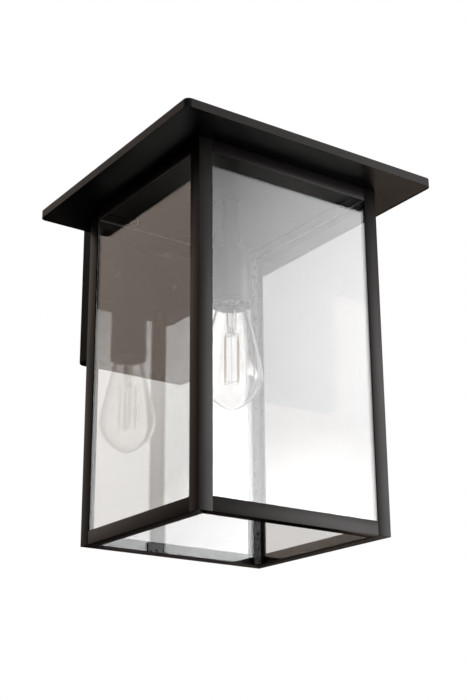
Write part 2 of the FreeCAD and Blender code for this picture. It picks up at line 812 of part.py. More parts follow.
sides = ("front", "rear", "left", "right")
corners = {"front_left": (-1, -1), "front_right": (1, -1), "rear_left": (-1, 1), "rear_right": (1, 1)}

nodes = {
    "wall_gasket": wall_gasket(),
    "wall_box": wall_box(),
    "mounting_strap": mounting_strap(),
    "stud_bar": stud_bar(),
    "bar_rivets": group(bar_rivet(x) for x in (-rivet_x, rivet_x)),
    "ground_screw": ground_screw(),
    "plate_studs": group(plate_stud(x) for x in (-stud_spacing / 2, stud_spacing / 2)),
    "cap_nuts": group(cap_nut(x) for x in (-stud_spacing / 2, stud_spacing / 2)),
    "wire_connectors": group(wire_connector(side) for side in (-1, 1)),
    "lead_live": supply_lead(-1),
    "lead_neutral": supply_lead(1),
    "lead_earth": earth_lead(),
    "roof_arm": roof_arm(),
    "arm_flange": arm_flange(),
    "arm_cap": arm_cap(),
    "arm_screws": group(arm_screw(x) for x in (-arm_screw_offset, arm_screw_offset)),
    "roof_pan": roof_pan(),
    "roof_soffit": roof_soffit(),
    "roof_spacer": roof_spacer(),
    "corner_sealant": group(sealant_bead(*signs) for signs in corners.values()),
    "glass_pads": group(pad for side in sides for pad in pads(side)),
    "glass_clip": glass_clip(),
    "clip_screw": clip_screw(),
    "frame_screws": group(frame_screw(x, y) for x, y in all_frame_screws()),
    "frame_nuts": group(frame_nut(x, y) for x, y in all_frame_screws()),
    "frame_washers": group(frame_washer_at(x, y) for x, y in all_frame_screws()
                           if (x, y) != bond_screw),
    "bond_lead": bond_lead(),
    "bond_ring": bond_ring(),
    "stem_tube": stem_tube(),
    "stem_nipple": stem_nipple(),
    "stem_locknut": stem_locknut(),
    "cup_locknut": cup_locknut(),
    "socket_cup": socket_cup(),
    "socket_body": socket_body(),
    "screw_shell": screw_shell(),
    "centre_contact": centre_contact(),
    "bulb_glass": bulb_glass(),
    "bulb_cap": bulb_cap(),
    "bulb_insulator": bulb_insulator(),
    "bulb_contact": bulb_contact(),
    "bulb_mount": bulb_mount(),
    "bulb_filaments": group(bulb_filament(x, y) for x, y in filament_places()),
    "bulb_wires": bulb_wires(),
}
for name, signs in corners.items():
    nodes["post_" + name] = post(*signs)
for side in sides:
    nodes["top_rail_" + side] = rail(side, True)
    nodes["bottom_rail_" + side] = rail(side, False)
    nodes["pane_" + side] = pane(side)

os.makedirs("parts", exist_ok=True)
for name, shape in nodes.items():
    shape = solid_of(shape)
    print(name, "solids", len(shape.Solids), "volume", round(shape.Volume, 1), "valid", shape.isValid())
    shape.exportStep("parts/" + name + ".step")
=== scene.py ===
# %% [markdown]
# # A glass box wall lantern
#
# The lantern is a box of angle iron and glass under a flat roof, carried by a shallow box on the
# wall. The frame that this script loads already holds every part at its true size. This lesson
# gives it its looks: rolled and painted steel, float glass with ground edges, a spun cup, and a
# clear bulb with four filaments. Each step says what the real piece is and why it is made so.

# %% Load the frame
import json
import math

import bmesh
import bpy
from mathutils import Matrix, Vector


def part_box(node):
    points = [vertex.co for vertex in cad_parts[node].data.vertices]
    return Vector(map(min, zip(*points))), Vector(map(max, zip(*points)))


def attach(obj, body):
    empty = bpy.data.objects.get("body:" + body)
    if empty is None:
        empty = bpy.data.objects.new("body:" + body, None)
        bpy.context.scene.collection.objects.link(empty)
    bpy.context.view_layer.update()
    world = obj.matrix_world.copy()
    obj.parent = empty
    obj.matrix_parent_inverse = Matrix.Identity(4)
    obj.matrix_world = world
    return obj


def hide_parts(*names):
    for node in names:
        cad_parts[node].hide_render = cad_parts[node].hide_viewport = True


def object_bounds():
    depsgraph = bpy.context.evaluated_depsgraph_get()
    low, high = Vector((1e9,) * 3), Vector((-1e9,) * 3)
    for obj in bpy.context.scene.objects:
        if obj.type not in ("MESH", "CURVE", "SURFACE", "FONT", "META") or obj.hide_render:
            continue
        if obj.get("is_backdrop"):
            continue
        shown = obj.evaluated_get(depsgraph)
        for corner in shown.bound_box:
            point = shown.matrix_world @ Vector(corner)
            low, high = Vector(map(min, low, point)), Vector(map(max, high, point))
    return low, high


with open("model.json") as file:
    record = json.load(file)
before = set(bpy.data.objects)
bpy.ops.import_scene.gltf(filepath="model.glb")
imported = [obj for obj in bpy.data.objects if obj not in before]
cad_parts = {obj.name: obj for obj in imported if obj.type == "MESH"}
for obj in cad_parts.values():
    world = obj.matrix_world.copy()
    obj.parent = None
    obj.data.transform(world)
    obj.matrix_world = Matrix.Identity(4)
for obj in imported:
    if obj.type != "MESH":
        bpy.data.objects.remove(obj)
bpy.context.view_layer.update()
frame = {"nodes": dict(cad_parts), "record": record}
nodes = frame["nodes"]
lantern_body, bulb_body = "lantern", "bulb"
mm = 0.001

# %% [markdown]
# ## Where things are
#
# Every place comes from the frame's own boxes, so nothing has to be fitted by eye. The stem's axis
# passes through the middle of the lamp cup, and the four posts give the corners of the glass box.

# %% Read the main places
def middle(node):
    """Centre of a node's box."""
    low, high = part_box(node)
    return (low + high) / 2


axis_x, axis_y = middle("socket_cup").x, middle("socket_cup").y
body_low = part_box("post_front_left")[0]
body_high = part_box("post_rear_right")[1]
print("stem axis", round(axis_x, 4), round(axis_y, 4), "foot", round(body_low.z, 4))

# %% [markdown]
# ## Shader groups that several finishes share
#
# A group is built once and placed in each material with its own values. It puts out only values
# that change over the surface; shaders stay in the material. Object coordinates are in metres, so
# a noise scale of 1000 has grains about a millimetre wide.

# %% A helper that makes an empty group with named sockets
def new_group(name, inputs, outputs):
    group = bpy.data.node_groups.new(name, "ShaderNodeTree")
    for socket, value in inputs.items():
        made = group.interface.new_socket(socket, in_out="INPUT", socket_type="NodeSocketFloat")
        made.default_value = value
    for socket, kind in outputs.items():
        group.interface.new_socket(socket, in_out="OUTPUT", socket_type=kind)
    source = group.nodes.new("NodeGroupInput")
    sink = group.nodes.new("NodeGroupOutput")
    return group, source, sink


def add(tree, kind, **settings):
    """A node with its settings. Settings that name an input socket are written to the socket."""
    node = tree.nodes.new(kind)
    for key, value in settings.items():
        if key in node.inputs:
            node.inputs[key].default_value = value
        else:
            setattr(node, key, value)
    return node


def noise(tree, where, scale, detail=3.0, roughness=0.55):
    node = add(tree, "ShaderNodeTexNoise", Detail=detail, Roughness=roughness)
    tree.links.new(where, node.inputs["Vector"])
    if hasattr(scale, "links"):
        tree.links.new(scale, node.inputs["Scale"])
    else:
        node.inputs["Scale"].default_value = scale
    return node.outputs["Fac"]


def math_node(tree, operation, a, b, clamp=False):
    node = tree.nodes.new("ShaderNodeMath")
    node.operation, node.use_clamp = operation, clamp
    for socket, value in zip(node.inputs, (a, b)):
        if hasattr(value, "links"):
            tree.links.new(value, socket)
        else:
            socket.default_value = value
    return node.outputs[0]


def ramp(tree, value, low, high, to_low=0.0, to_high=1.0):
    node = add(tree, "ShaderNodeMapRange", clamp=True)
    for socket, number in zip(node.inputs[1:5], (low, high, to_low, to_high)):
        socket.default_value = number
    tree.links.new(value, node.inputs["Value"])
    return node.outputs["Result"]


# %% Powder coat: a fine sandy skin with a slow drift of tone
def build_powder_group():
    group, source, sink = new_group(
        "powder_texture", {"Grain scale": 1500.0, "Drift scale": 9.0},
        {"Height": "NodeSocketFloat", "Tone": "NodeSocketFloat", "Sheen mask": "NodeSocketFloat"})
    where = add(group, "ShaderNodeTexCoord").outputs["Object"]
    grain = noise(group, where, source.outputs["Grain scale"], 4.0, 0.6)
    coarse = math_node(group, "MULTIPLY", source.outputs["Grain scale"], 0.32)
    peel = noise(group, where, coarse, 2.0, 0.5)
    height = math_node(group, "ADD", math_node(group, "MULTIPLY", grain, 0.65),
                       math_node(group, "MULTIPLY", peel, 0.35))
    drift = noise(group, where, source.outputs["Drift scale"], 3.0, 0.6)
    speck = ramp(group, grain, 0.35, 0.7)
    tone = math_node(group, "ADD", math_node(group, "MULTIPLY", speck, 0.55),
                     math_node(group, "MULTIPLY", drift, 0.45))
    group.links.new(height, sink.inputs["Height"])
    group.links.new(tone, sink.inputs["Tone"])
    group.links.new(ramp(group, drift, 0.3, 0.7), sink.inputs["Sheen mask"])
    return group


powder_texture = build_powder_group()
print("group", powder_texture.name)

# %% Dust: a thin grey film that gathers in slow patches
def build_dust_group():
    group, source, sink = new_group(
        "dust_film", {"Patch scale": 22.0, "Amount": 0.2}, {"Mask": "NodeSocketFloat"})
    where = add(group, "ShaderNodeTexCoord").outputs["Object"]
    patch = noise(group, where, source.outputs["Patch scale"], 5.0, 0.62)
    fine = noise(group, where, 700.0, 2.0, 0.5)
    film = math_node(group, "MULTIPLY", ramp(group, patch, 0.42, 0.72), ramp(group, fine, 0.25, 0.8))
    up = add(group, "ShaderNodeNewGeometry").outputs["Normal"]
    split = add(group, "ShaderNodeSeparateXYZ")
    group.links.new(up, split.inputs[0])
    level = ramp(group, split.outputs["Z"], -0.2, 1.0, 0.25, 1.0)
    mask = math_node(group, "MULTIPLY", math_node(group, "MULTIPLY", film, level),
                     source.outputs["Amount"], True)
    group.links.new(mask, sink.inputs["Mask"])
    return group


dust_film = build_dust_group()
print("group", dust_film.name)

# %% A helper that starts a material with a Principled shader
def new_material(name, **values):
    material = bpy.data.materials.new(name)
    material.use_nodes = True
    tree = material.node_tree
    shader = tree.nodes["Principled BSDF"]
    for socket, value in values.items():
        shader.inputs[socket.replace("_", " ")].default_value = value
    return material, tree, shader


def group_node(tree, group, **values):
    node = tree.nodes.new("ShaderNodeGroup")
    node.node_tree = group
    for socket, value in values.items():
        node.inputs[socket.replace("_", " ")].default_value = value
    return node


def mix_colour(tree, factor, first, second):
    node = tree.nodes.new("ShaderNodeMix")
    node.data_type = "RGBA"
    tree.links.new(factor, node.inputs["Factor"])
    for socket, value in zip((node.inputs["A"], node.inputs["B"]), (first, second)):
        if hasattr(value, "links"):
            tree.links.new(value, socket)
        else:
            socket.default_value = (*value, 1.0)
    return node.outputs["Result"]


def bump(tree, shader, height, distance, strength=1.0):
    node = add(tree, "ShaderNodeBump", Strength=strength, Distance=distance)
    tree.links.new(height, node.inputs["Height"])
    tree.links.new(node.outputs["Normal"], shader.inputs["Normal"])


# %% [markdown]
# ## Painted steel
#
# The frame, roof and wall box are steel under a matt, nearly black powder coat with a warm cast.
# Powder leaves a fine sandy skin, so the bump has grains of about half a millimetre. Roof and frame
# differ a little in tone, as parts from separate batches do. The wall box takes a darker, duller
# copy of the paint: painted shade for the shadow it sits in beside the wall.

# %% Paint recipe
def powder_paint(name, deep, light, grain, roughness, dust, gloss=0.17):
    material, tree, shader = new_material(name, Specular_IOR_Level=gloss,
                                          Specular_Tint=(1.0, 0.95, 0.92, 1.0))
    skin = group_node(tree, powder_texture, Grain_scale=grain)
    paint = mix_colour(tree, skin.outputs["Tone"], deep, light)
    film = group_node(tree, dust_film, Amount=dust)
    colour = mix_colour(tree, film.outputs["Mask"], paint, (0.22, 0.20, 0.175))
    tree.links.new(colour, shader.inputs["Base Color"])
    rough = math_node(tree, "ADD", math_node(tree, "MULTIPLY", skin.outputs["Sheen mask"], 0.10),
                      roughness)
    rough = math_node(tree, "ADD", rough, math_node(tree, "MULTIPLY", film.outputs["Mask"], 0.5), True)
    tree.links.new(rough, shader.inputs["Roughness"])
    bump(tree, shader, skin.outputs["Height"], 0.00006, 0.55)
    return material


frame_paint = powder_paint("frame_powder_coat", (0.0095, 0.0084, 0.0078), (0.026, 0.0232, 0.0218),
                           1500.0, 0.33, 0.10)
roof_paint = powder_paint("roof_powder_coat", (0.0080, 0.0070, 0.0062), (0.020, 0.0176, 0.0158),
                          1500.0, 0.34, 0.10)
# Wall box: a darker, less glossy copy of the paint, which is painted shade for the shadow beside the
# wall.
wall_box_paint = powder_paint("wall_box_powder_coat_painted_shade", (0.0095, 0.0078, 0.0070), (0.024, 0.0200, 0.0180),
                              1300.0, 0.55, 0.10, 0.05)
holder_paint = powder_paint("cup_satin_paint", (0.010, 0.0096, 0.0092), (0.022, 0.0212, 0.0204),
                            2600.0, 0.30, 0.05, 0.40)
print("paints", [m.name for m in (frame_paint, roof_paint, wall_box_paint, holder_paint)])

# %% [markdown]
# ## Bare metals, rubber, ceramic and wire
#
# The fixings are small but each has its own finish: bright zinc with a slow blotch, brass with
# tarnish, black oxide on the screws that show, and moulded or rubbery skins. One recipe takes the
# two tones, the roughness and the size of the pattern.

# %% Small-part recipe
def fine_finish(name, tone_a, tone_b, metallic, roughness, scale, depth, spread=0.12):
    material, tree, shader = new_material(name, Metallic=metallic)
    where = add(tree, "ShaderNodeTexCoord").outputs["Object"]
    blotch = noise(tree, where, scale, 5.0, 0.6)
    fine = noise(tree, where, scale * 7.0, 3.0, 0.55)
    mask = ramp(tree, math_node(tree, "ADD", math_node(tree, "MULTIPLY", blotch, 0.7),
                                math_node(tree, "MULTIPLY", fine, 0.3)), 0.35, 0.65)
    tree.links.new(mix_colour(tree, mask, tone_a, tone_b), shader.inputs["Base Color"])
    tree.links.new(ramp(tree, blotch, 0.3, 0.7, roughness - spread / 2, roughness + spread / 2),
                   shader.inputs["Roughness"])
    bump(tree, shader, fine, depth, 0.5)
    return material


black_oxide = fine_finish("black_oxide", (0.012, 0.012, 0.012), (0.035, 0.032, 0.03),
                          0.0, 0.38, 260.0, 0.00003)
zinc_plate = fine_finish("zinc_plate", (0.55, 0.56, 0.58), (0.70, 0.71, 0.72),
                         1.0, 0.30, 240.0, 0.00002)
brass_plain = fine_finish("brass", (0.62, 0.44, 0.17), (0.80, 0.62, 0.30),
                          1.0, 0.26, 300.0, 0.00002)
nickel_cap = fine_finish("nickel_cap", (0.58, 0.57, 0.54), (0.72, 0.70, 0.66),
                         1.0, 0.28, 320.0, 0.00002)
foam_skin = fine_finish("gasket_foam", (0.018, 0.018, 0.018), (0.05, 0.05, 0.05),
                        0.0, 0.85, 900.0, 0.00025)
rubber_skin = fine_finish("pad_rubber", (0.015, 0.015, 0.015), (0.035, 0.035, 0.034),
                          0.0, 0.7, 600.0, 0.00005)
# The lamp holder is coloured dark grey-brown: painted shade for the dark inside of the cup's mouth.
painted_shade_holder = fine_finish("holder_ceramic_painted_shade", (0.11, 0.095, 0.088), (0.17, 0.15, 0.14),
                         0.0, 0.30, 150.0, 0.00002)
black_glass = fine_finish("insulator_glass", (0.010, 0.010, 0.012), (0.03, 0.03, 0.035),
                          0.0, 0.12, 400.0, 0.00001, 0.08)
orange_nylon = fine_finish("connector_nylon", (0.66, 0.24, 0.03), (0.78, 0.32, 0.06),
                           0.0, 0.5, 350.0, 0.00004)
black_jacket = fine_finish("lead_jacket_black", (0.010, 0.010, 0.010), (0.028, 0.027, 0.026),
                           0.0, 0.42, 500.0, 0.00003)
white_jacket = fine_finish("lead_jacket_white", (0.70, 0.69, 0.66), (0.82, 0.81, 0.78),
                           0.0, 0.42, 500.0, 0.00003)
green_jacket = fine_finish("lead_jacket_green", (0.02, 0.22, 0.05), (0.05, 0.36, 0.10),
                           0.0, 0.42, 500.0, 0.00003)
wire_metal = fine_finish("lead_in_wire", (0.50, 0.48, 0.46), (0.68, 0.66, 0.62),
                         1.0, 0.32, 900.0, 0.00001)
phosphor = fine_finish("filament_phosphor", (0.98, 0.58, 0.30), (1.0, 0.72, 0.44),
                       0.0, 0.55, 1200.0, 0.00003)
print("small finishes made")

# %% [markdown]
# ## Glass
#
# Panes are 3 mm float glass, nearly colourless, with a faint green in the thickness. They are solid
# slabs with two faces, so reflections and refraction come out by themselves. The narrow edges are
# ground: the wheel leaves a frosted, sparkling band that catches light, so they get their own rough
# material. The bulb is thinner glass with slow waves from blowing.

# %% Clear and ground glass
def clear_glass(name, tint, wave_scale, wave_depth, smudge):
    material, tree, shader = new_material(name, Transmission_Weight=1.0, IOR=1.5, Metallic=0.0)
    where = add(tree, "ShaderNodeTexCoord").outputs["Object"]
    film = noise(tree, where, 26.0, 4.0, 0.6)
    deeper = tuple(channel * 0.985 for channel in tint)
    tree.links.new(mix_colour(tree, ramp(tree, film, 0.3, 0.7), tint, deeper),
                   shader.inputs["Base Color"])
    tree.links.new(ramp(tree, film, 0.5, 0.85, 0.0, smudge), shader.inputs["Roughness"])
    bump(tree, shader, noise(tree, where, wave_scale, 1.0, 0.4), wave_depth, 0.5)
    return material


pane_glass = clear_glass("pane_float_glass", (0.985, 0.992, 0.988), 9.0, 0.00002, 0.03)
bulb_clear = clear_glass("bulb_blown_glass", (0.985, 0.97, 0.955), 55.0, 0.00012, 0.02)

ground_edge, tree, shader = new_material("ground_glass_edge", Transmission_Weight=0.45, IOR=1.5)
where = add(tree, "ShaderNodeTexCoord").outputs["Object"]
chips = noise(tree, where, 900.0, 5.0, 0.75)
tree.links.new(mix_colour(tree, ramp(tree, chips, 0.4, 0.62), (0.80, 0.76, 0.77), (1.0, 0.97, 0.97)),
               shader.inputs["Base Color"])
tree.links.new(ramp(tree, chips, 0.35, 0.7, 0.25, 0.75), shader.inputs["Roughness"])
bump(tree, shader, chips, 0.0003, 0.8)

sealant_bead, tree, shader = new_material("clear_sealant_bead", Transmission_Weight=0.35, IOR=1.42)
where = add(tree, "ShaderNodeTexCoord").outputs["Object"]
drag = add(tree, "ShaderNodeMapping", vector_type="POINT")
drag.inputs["Scale"].default_value = (1.0, 1.0, 0.35)
tree.links.new(where, drag.inputs["Vector"])
lumps = noise(tree, drag.outputs["Vector"], 520.0, 5.0, 0.7)
tree.links.new(mix_colour(tree, ramp(tree, lumps, 0.35, 0.65), (0.16, 0.155, 0.155), (1.0, 0.99, 0.99)),
               shader.inputs["Base Color"])
tree.links.new(ramp(tree, lumps, 0.3, 0.7, 0.18, 0.6), shader.inputs["Roughness"])
bump(tree, shader, lumps, 0.0008, 0.9)
print("glass", pane_glass.name, bulb_clear.name, ground_edge.name, sealant_bead.name)

# %% [markdown]
# ## Finish the CAD parts that keep their shape
#
# A part whose shape is right stays, and only gets a better material. The table says which finish
# each slot of the record takes, so every carried-over node is covered by a loop.

# %% Give each kept node its finish
finish_of_slot = {
    "frame_paint": frame_paint, "roof_paint": roof_paint, "wall_box_paint": wall_box_paint,
    "holder_paint": holder_paint, "black_hardware": black_oxide, "zinc_steel": zinc_plate,
    "brass": brass_plain, "gasket_foam": foam_skin, "pad_rubber": rubber_skin,
    "clear_sealant": sealant_bead, "connector_plastic": orange_nylon, "lead_black": black_jacket,
    "lead_white": white_jacket, "lead_green": green_jacket, "holder_ceramic": painted_shade_holder,
    "pane_glass": pane_glass, "bulb_clear_glass": bulb_clear, "bulb_cap_metal": nickel_cap,
    "bulb_black_glass": black_glass, "filament_phosphor": phosphor, "bulb_wire_metal": wire_metal}
slot_of_node = {part["node"]: part["material_slot"] for part in frame["record"]["subparts"]}
for name, node in nodes.items():
    node.data.materials.clear()
    node.data.materials.append(finish_of_slot[slot_of_node[name]])
print("finished nodes", len(nodes))

# %% [markdown]
# ## Helpers for new pieces
#
# Each new piece is a bmesh that operators shape. It ends as an object at the origin with its place
# in its mesh. It rides on a body, takes its finish from a slot, and hides the plain CAD part.

# %% From a bmesh to a piece
def piece_from(shape, name, materials, body, replaced=(), smooth_angle=35.0):
    bmesh.ops.recalc_face_normals(shape, faces=shape.faces)
    mesh = bpy.data.meshes.new(name)
    shape.to_mesh(mesh)
    shape.free()
    for material in materials:
        mesh.materials.append(material)
    piece = bpy.data.objects.new(name, mesh)
    bpy.context.scene.collection.objects.link(piece)
    mesh.shade_smooth()
    mesh.set_sharp_from_angle(angle=math.radians(smooth_angle))
    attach(piece, body)
    if replaced:
        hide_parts(*replaced)
    return piece


def soften(shape, width, segments=2, edges=None):
    """Round the edges of a shape by a small width."""
    bmesh.ops.bevel(shape, geom=list(edges or shape.edges), offset=width, offset_type="OFFSET",
                    segments=segments, profile=0.5, affect="EDGES", material=-1, clamp_overlap=True)


# %% [markdown]
# ## Angle iron: posts and rails
#
# A post or rail is an angle with a rolled, slightly rounded heel. It could be kept from CAD, but
# dead-sharp edges never catch light. So each one is drawn again: a small square at the heel grows
# two legs by pulling out two of its edges, the flat L is pulled into a bar, and every edge is
# rounded a third of a millimetre. On a rail the upright leg stops at the posts, but the ledge runs
# on behind them to a mitred corner. So the ledge's ends are pulled out further, each corner as far
# as it lies from the outside.

# %% Make one angle
angle_sheet = 1.5 * mm
angle_rounding = 0.35 * mm


def new_verts(made):
    return [item for item in made["geom"] if isinstance(item, bmesh.types.BMVert)]


def pull_edge(shape, edge, move):
    grown = bmesh.ops.extrude_edge_only(shape, edges=[edge])
    bmesh.ops.translate(shape, verts=new_verts(grown), vec=move)


def angle_iron(name, heel, leg_a, leg_b, run, corner=0.0):
    """An angle from its heel, its two legs and its run. A corner size makes mitred ends on leg a."""
    shape = bmesh.new()
    bmesh.ops.create_grid(shape, x_segments=1, y_segments=1, size=angle_sheet / 2)
    bmesh.ops.translate(shape, verts=shape.verts, vec=(angle_sheet / 2, angle_sheet / 2, 0))
    side = max(shape.edges, key=lambda e: (e.verts[0].co + e.verts[1].co).x)
    top = max(shape.edges, key=lambda e: (e.verts[0].co + e.verts[1].co).y)
    pull_edge(shape, side, (leg_a.length - angle_sheet, 0, 0))
    pull_edge(shape, top, (0, leg_b.length - angle_sheet, 0))
    bar = bmesh.ops.extrude_face_region(shape, geom=list(shape.faces))
    bmesh.ops.translate(shape, verts=new_verts(bar), vec=(0, 0, run.length))
    bmesh.ops.recalc_face_normals(shape, faces=shape.faces)
    ends = [f for f in shape.faces if abs(f.normal.z) > 0.9 and f.calc_center_median().x > angle_sheet]
    for end in ends if corner else []:
        outwards = 1 if end.normal.z > 0 else -1
        for vert in new_verts(bmesh.ops.extrude_face_region(shape, geom=[end])):
            vert.co.z += outwards * (corner - vert.co.x)
    place = Matrix((leg_a.normalized(), leg_b.normalized(), run.normalized())).transposed().to_4x4()
    bmesh.ops.transform(shape, matrix=Matrix.Translation(heel) @ place, verts=shape.verts)
    bmesh.ops.recalc_face_normals(shape, faces=shape.faces)
    bmesh.ops.dissolve_limit(shape, angle_limit=0.01, verts=shape.verts, edges=shape.edges)
    soften(shape, angle_rounding)
    return piece_from(shape, name + "_iron", [frame_paint], lantern_body, [name])


# %% Four posts and eight rails
for end in ("front", "rear"):
    for side in ("left", "right"):
        low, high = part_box(f"post_{end}_{side}")
        across = 1 if side == "left" else -1
        inward = 1 if end == "front" else -1
        heel = Vector((low.x if across > 0 else high.x, low.y if inward > 0 else high.y, low.z))
        post_leg = high.x - low.x
        angle_iron(f"post_{end}_{side}", heel, Vector((across * post_leg, 0, 0)),
                   Vector((0, inward * (high.y - low.y), 0)), Vector((0, 0, high.z - low.z)))
behind_post = post_leg - angle_sheet
for level in ("top", "bottom"):
    for side in ("front", "rear", "left", "right"):
        low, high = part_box(f"{level}_rail_{side}")
        up = Vector((0, 0, high.z - low.z)) * (1 if level == "bottom" else -1)
        thin, long = (1, 0) if side in ("front", "rear") else (0, 1)
        near = side in ("front", "left")
        heel = Vector((0, 0, low.z if level == "bottom" else high.z))
        heel[thin] = low[thin] if near else high[thin]
        heel[long] = low[long] + behind_post
        ledge, run = Vector((0, 0, 0)), Vector((0, 0, 0))
        ledge[thin] = (high[thin] - low[thin]) * (1 if near else -1)
        run[long] = high[long] - low[long] - 2 * behind_post
        angle_iron(f"{level}_rail_{side}", heel, ledge, up, run, post_leg)
print("angles made")

# %% [markdown]
# ## Glass panes
#
# A pane could be one plane, but then it has no edges and bends no light. It is a slab: a cube
# stretched to the pane's box, with a small ground arris on every edge. The faces that don't face
# along the pane's thin way are the ground edges, so they take the second material.

# %% Make the four panes
arris = 0.35 * mm
for side, thin in (("front", 1), ("rear", 1), ("left", 0), ("right", 0)):
    low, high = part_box(f"pane_{side}")
    shape = bmesh.new()
    bmesh.ops.create_cube(shape, size=1.0)
    bmesh.ops.scale(shape, vec=high - low, verts=shape.verts)
    bmesh.ops.translate(shape, vec=(low + high) / 2, verts=shape.verts)
    soften(shape, arris, 1)
    for face in shape.faces:
        face.material_index = 0 if abs(face.normal[thin]) > 0.99 else 1
    piece_from(shape, f"glass_pane_{side}", [pane_glass, ground_edge], lantern_body,
               [f"pane_{side}"], 20.0)
print("panes made")

# %% [markdown]
# ## Turned and spun pieces
#
# The lamp cup is spun from sheet, the stem is a tube, and the bulb is blown: all are round about
# the stem's axis. So each is an outline of a few points, spun through a full turn. Curved parts of
# an outline come from a small function that rounds its corners.

# %% Spin an outline about the stem's axis
def rounded(points, radius, steps=4):
    """An outline with each inner corner replaced by an arc of about that radius."""
    result = [Vector(points[0])]
    for before, corner, after in zip(points, points[1:], points[2:]):
        before, corner, after = Vector(before), Vector(corner), Vector(after)
        reach = min(radius, 0.45 * (corner - before).length, 0.45 * (after - corner).length)
        start = corner + (before - corner).normalized() * reach
        end = corner + (after - corner).normalized() * reach
        for step in range(steps + 1):
            t = step / steps
            result.append(start * (1 - t) ** 2 + corner * 2 * t * (1 - t) + end * t ** 2)
    result.append(Vector(points[-1]))
    return result


def spun(outline, steps=96, closed=False, rise=0.0):
    """Spin an outline of (radius, height) about the stem's axis."""
    shape = bmesh.new()
    verts = [shape.verts.new((axis_x + r, axis_y, z)) for r, z in outline]
    pairs = list(zip(verts, verts[1:])) + ([(verts[-1], verts[0])] if closed else [])
    edges = [shape.edges.new(pair) for pair in pairs]
    bmesh.ops.spin(shape, geom=verts + edges, cent=(axis_x, axis_y, 0), axis=(0, 0, 1),
                   dvec=(0, 0, rise / steps), angle=math.tau, steps=steps, use_merge=rise == 0.0)
    bmesh.ops.remove_doubles(shape, verts=shape.verts, dist=1e-6)
    bmesh.ops.holes_fill(shape, edges=[e for e in shape.edges if e.is_boundary], sides=0)
    return shape


# %% The lamp cup, with a rolled lip at its mouth
cup_low, cup_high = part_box("socket_cup")
cup_r, cup_wall = (cup_high.x - cup_low.x) / 2, 1.2 * mm
nipple_r = (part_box("stem_nipple")[1].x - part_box("stem_nipple")[0].x) / 2
hole_r = nipple_r + 0.3 * mm
lip = 0.6 * mm
groove, groove_depth = cup_low.z + 4 * mm, 0.35 * mm
outline = [(hole_r, cup_high.z), (cup_r, cup_high.z), (cup_r, groove + 1 * mm),
           (cup_r - groove_depth, groove), (cup_r, groove - 1 * mm), (cup_r, cup_low.z),
           (cup_r - cup_wall - lip, cup_low.z), (cup_r - cup_wall - lip, cup_low.z + 1.5 * mm),
           (cup_r - cup_wall, cup_low.z + 2.2 * mm), (cup_r - cup_wall, cup_high.z - cup_wall),
           (hole_r, cup_high.z - cup_wall), (hole_r, cup_high.z)]
outline = rounded(outline, 0.9 * mm)[:-1]
piece_from(spun(outline, 128, closed=True), "lamp_cup", [holder_paint], lantern_body,
           ["socket_cup"])
print("cup radius", round(cup_r, 4))

# %% The stem, a tube with eased ends
stem_low, stem_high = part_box("stem_tube")
stem_r, stem_wall = (stem_high.x - stem_low.x) / 2, 1.5 * mm
outline = [(stem_r, stem_low.z + 0.1 * mm), (stem_r, stem_high.z), (stem_r - stem_wall, stem_high.z),
           (stem_r - stem_wall, stem_low.z), (stem_r, stem_low.z), (stem_r, stem_low.z + 0.2 * mm)]
piece_from(spun(rounded(outline, 0.4 * mm)[:-1], 96, closed=True), "stem_sleeve", [holder_paint],
           lantern_body, ["stem_tube"])
print("stem radius", round(stem_r, 4))

# %% [markdown]
# ## The bulb
#
# The envelope is a long drop: a shallow cone below, the widest girth a third of the way up, then a
# straight taper to the neck. A Bezier sweep gives each stretch. The same outline set in by the
# glass's thickness and joined at the neck makes a true two-sided wall, which bends light as blown
# glass does.

# %% Envelope outline and body
bulb_low, bulb_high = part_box("bulb_glass")
bulb_r = (bulb_high.x - bulb_low.x) / 2
cap_low, cap_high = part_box("bulb_cap")
cap_r = (cap_high.x - cap_low.x) / 2
bulb_wall = 0.8 * mm
neck_start_r, neck_start = 17.0 * mm, 107.5 * mm  # where the taper turns into the neck


def sweep(points, steps):
    """Points along a cubic Bezier curve."""
    a, b, c, d = map(Vector, points)
    return [a * (1 - t) ** 3 + b * 3 * t * (1 - t) ** 2 + c * 3 * t * t * (1 - t) + d * t ** 3
            for t in (step / steps for step in range(steps + 1))]


def bulb_outline(shrink):
    tip, neck_z = bulb_low.z + shrink, bulb_high.z
    r, shoulder_r, neck_r = bulb_r - shrink, neck_start_r - shrink, cap_r - 0.5 * mm - shrink
    belly, shoulder = bulb_low.z + 1.1 * bulb_r, bulb_low.z + neck_start
    slant = (r - shoulder_r) / (shoulder - belly)
    reach, fall = 0.3 * (shoulder - belly), 0.45 * (neck_z - shoulder)
    lower = sweep([(0, tip), (0.36 * r, tip + 0.03 * bulb_r), (r, tip + 0.55 * bulb_r), (r, belly)], 26)
    taper = sweep([(r, belly), (r, belly + 0.2 * (shoulder - belly)),
                   (shoulder_r + slant * reach, shoulder - reach), (shoulder_r, shoulder)], 20)
    neck = sweep([(shoulder_r, shoulder), (shoulder_r - slant * fall, shoulder + fall),
                  (neck_r, neck_z - fall), (neck_r, neck_z)], 8)
    return lower + taper[1:] + neck[1:]


outline = bulb_outline(0.0) + list(reversed(bulb_outline(bulb_wall)))
piece_from(spun(outline, 128), "bulb_envelope", [bulb_clear], bulb_body,
           ["bulb_glass"], 60.0)
print("bulb radius", round(bulb_r, 4), "length", round(bulb_high.z - bulb_low.z, 4))

# %% [markdown]
# ## Glass mount
#
# Inside the envelope a glass tube carries the filaments. It flares out where it is fused to the
# neck, and its lower end is pinched flat while soft. The pinch is not a plain block: it sets in
# lumps, and their round sides show as the small bright knot above the filaments. So the tube is
# spun as a thin wall, and three stretched beads stand side by side below it.

